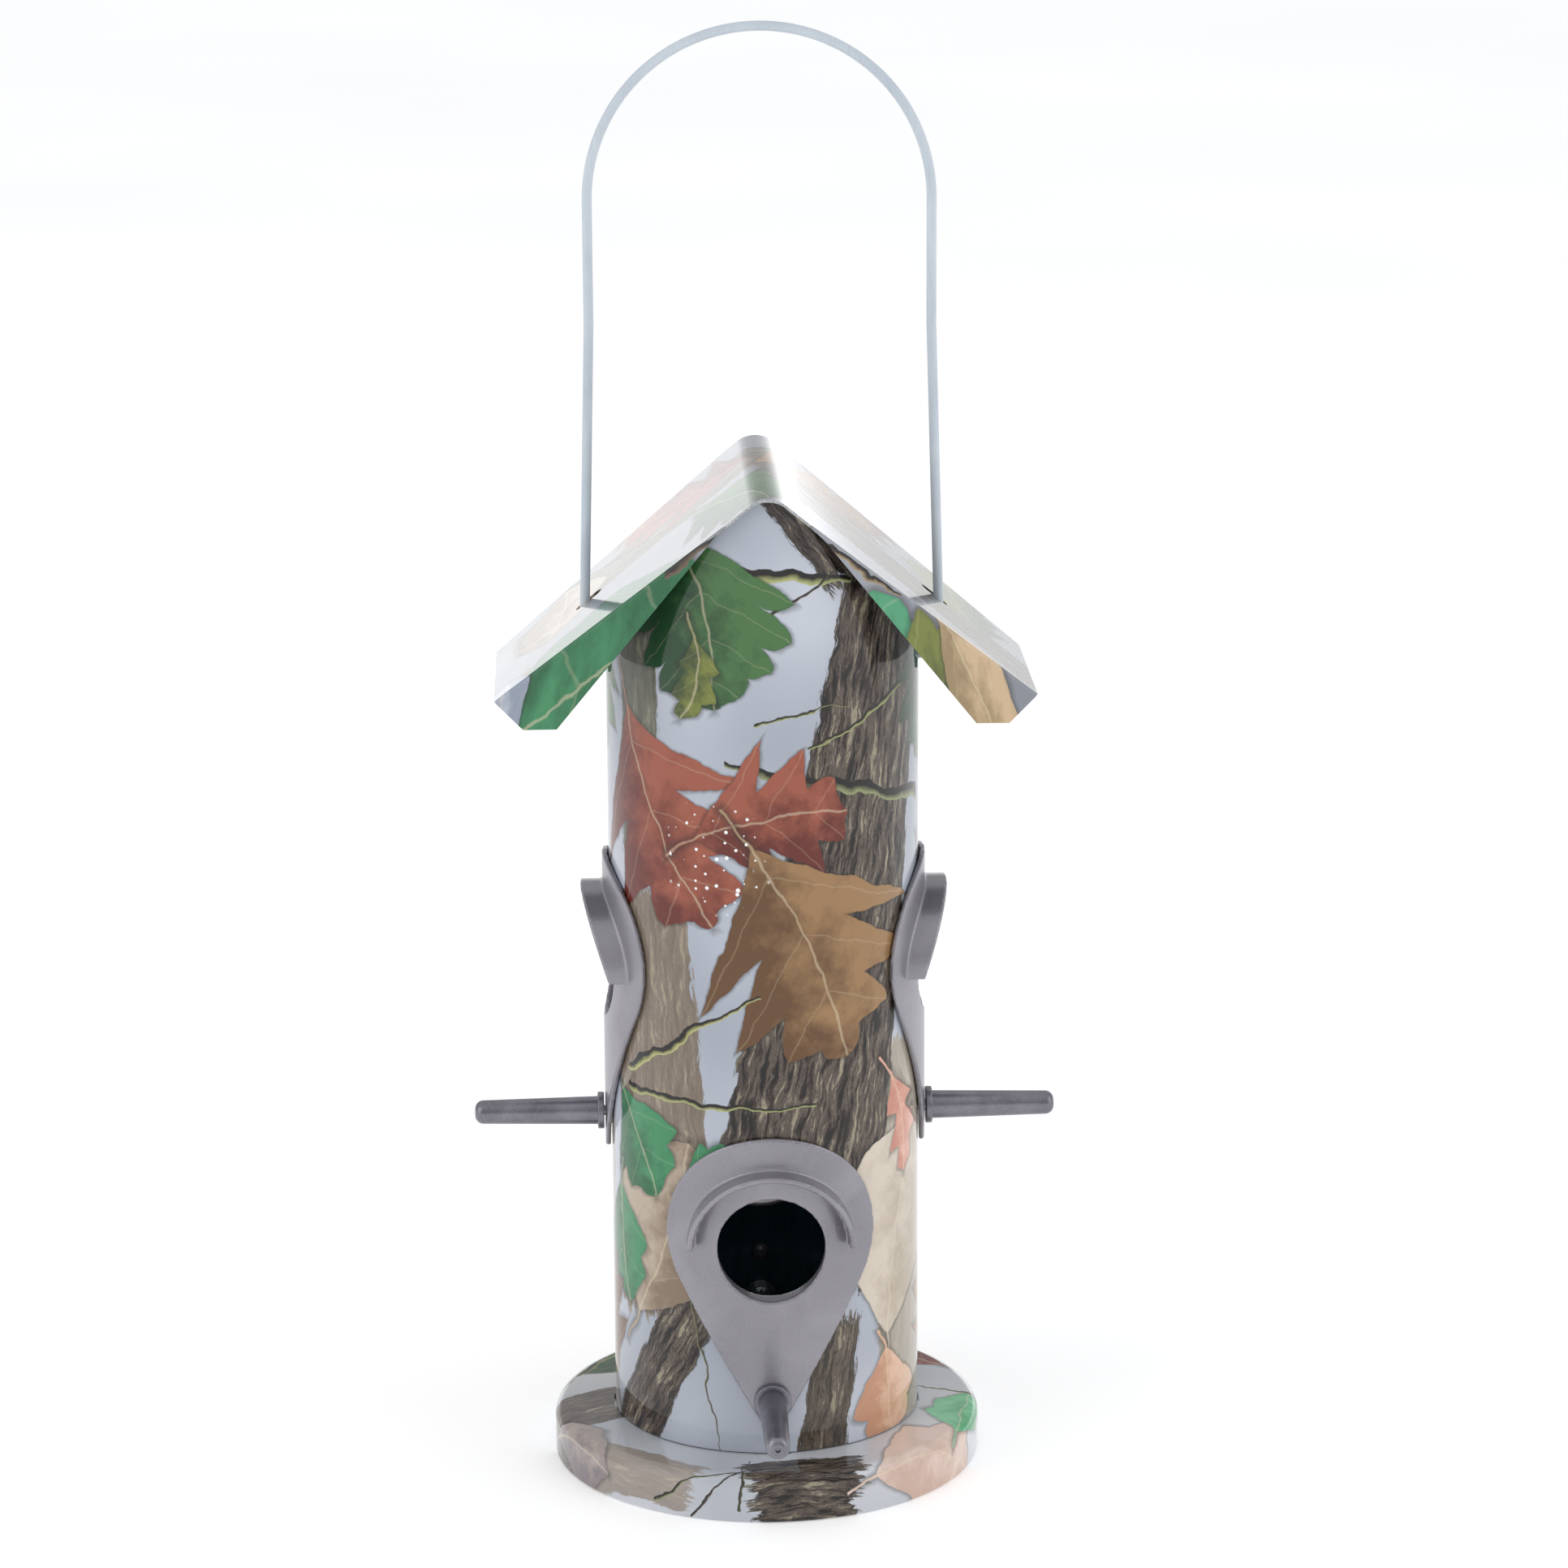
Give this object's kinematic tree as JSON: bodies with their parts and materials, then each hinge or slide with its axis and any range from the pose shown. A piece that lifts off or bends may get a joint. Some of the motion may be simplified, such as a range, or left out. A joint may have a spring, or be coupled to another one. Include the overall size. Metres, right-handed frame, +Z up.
{
  "type": "hanging tube bird feeder",
  "caption": "Hanging round sheet-metal tube seed feeder with a folded gable roof, wire bail, hooded side ports with peg perches and a round base pan.",
  "frame": {"origin": "on the tube's axis, at the underside of the base pan", "axes": "+Z up along the tube; -Y out through the front port; X along the roof's span, square to its ridge"},
  "size_m": [0.1438, 0.1438, 0.3574],
  "materials": {
    "printed_tin": "glossy printed tinplate in a woodland pattern of bark, twigs and leaves on pale grey",
    "roof_tin": "glossy printed tinplate, mostly green leaves",
    "bail_wire": "satin grey-blue coating on steel wire",
    "port_plastic": "satin grey moulded plastic",
    "perch_metal": "smooth gunmetal grey",
    "zinc_steel": "zinc plated"
  },
  "bodies": {
    "tube": {"tube_body": "printed_tin", "base_pan": "printed_tin", "port_front": "port_plastic", "port_right": "port_plastic", "port_rear": "port_plastic", "port_left": "port_plastic", "perch_front": "perch_metal", "perch_right": "perch_metal", "perch_rear": "perch_metal", "perch_left": "perch_metal", "perch_screw_front": "zinc_steel", "perch_screw_right": "zinc_steel", "perch_screw_rear": "zinc_steel", "perch_screw_left": "zinc_steel", "perch_washer_front": "zinc_steel", "perch_washer_right": "zinc_steel", "perch_washer_rear": "zinc_steel", "perch_washer_left": "zinc_steel"},
    "bail": {"bail_wire": "bail_wire"},
    "roof": {"roof": "roof_tin"}
  },
  "joints": [
    {"name": "bail_swing", "type": "hinge", "parent": "tube", "child": "bail", "pos_m": [0, 0, 0.204], "axis": [-1, 0, 0], "range_deg": [0, 60]},
    {"name": "roof_lift", "type": "slide", "parent": "bail", "child": "roof", "axis": [0, 0, 1], "range_m": [0, 0.095]}
  ],
  "couplings": [
    {"joint": "bail_swing", "follows": "roof_lift", "rad_per_m": 11}
  ]
}
